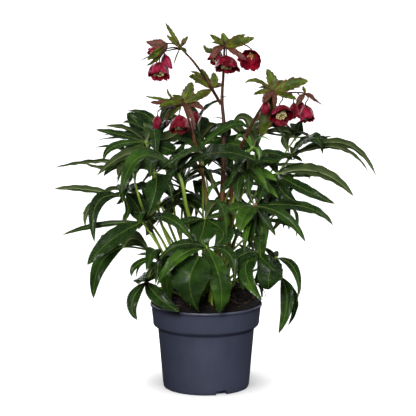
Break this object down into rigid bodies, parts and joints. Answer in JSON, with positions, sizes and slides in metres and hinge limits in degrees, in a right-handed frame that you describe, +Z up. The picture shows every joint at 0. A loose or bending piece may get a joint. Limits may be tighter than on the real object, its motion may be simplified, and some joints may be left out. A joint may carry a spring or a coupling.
{
  "type": "potted hellebore plant",
  "caption": "Evergreen garden perennial in a round plastic nursery pot: palmate leaves on upright stalks round flowering stems with nodding bell flowers.",
  "frame": {"origin": "middle of the pot's underside, on the surface that the pot stands on", "axes": "+Z up along the pot's axis; +X to the right and -Y towards the viewer of the plant's showier side"},
  "size_m": [0.5595, 0.4622, 0.6347],
  "materials": {
    "pot": "satin, moulded, dark slate blue",
    "compost": "moist bark and peat compost, crumbly, matte",
    "leaf": "leathery evergreen leaf, semi-gloss above, dull and paler below",
    "young_leaf": "soft young leaf, satin",
    "stem": "green flushed maroon, satin",
    "bract": "yellow-green leafy bract with reddish edges, satin",
    "sepal": "crimson to magenta-pink sepal, satin",
    "stamen": "pale cream-yellow, matte"
  },
  "bodies": {
    "root": {"pot": "pot", "soil": "compost", "leaf_01": "leaf", "leaf_02": "leaf", "leaf_03": "leaf", "leaf_04": "leaf", "leaf_05": "leaf", "leaf_06": "leaf", "leaf_07": "leaf", "leaf_08": "leaf", "leaf_09": "leaf", "leaf_10": "leaf", "leaf_11": "leaf", "leaf_12": "leaf", "leaf_13": "leaf", "leaf_14": "leaf", "leaf_15": "leaf", "leaf_16": "leaf", "leaf_17": "leaf", "leaf_18": "leaf", "leaf_19": "leaf", "leaf_20": "leaf", "leaf_21": "leaf", "leaf_22": "leaf", "leaf_23": "leaf", "leaf_24": "young_leaf", "leaf_25": "leaf", "leaf_26": "leaf", "leaf_27": "leaf", "leaf_28": "leaf", "leaf_29": "leaf", "leaf_30": "leaf", "stem_tall": "stem", "stem_left": "stem", "stem_right": "stem", "bracts_top": "bract", "bracts_top_left": "bract", "bracts_upper_left": "bract", "bracts_fork": "bract", "bracts_left": "bract", "bracts_right": "bract", "bracts_arm": "bract", "flower_upper_left": "sepal", "flower_upper_left_stamens": "stamen", "flower_upper_left_b": "sepal", "flower_upper_left_c": "sepal", "flower_top_left": "sepal", "flower_top": "sepal", "flower_top_stamens": "stamen", "flower_top_right": "sepal", "flower_top_right_stamens": "stamen", "bud_left": "sepal", "flower_left": "sepal", "bud_left_b": "sepal", "bud_right": "sepal", "flower_right": "sepal", "flower_right_stamens": "stamen", "flower_right_b": "sepal", "bud_right_b": "sepal", "flower_right_c": "sepal"}
  },
  "joints": []
}
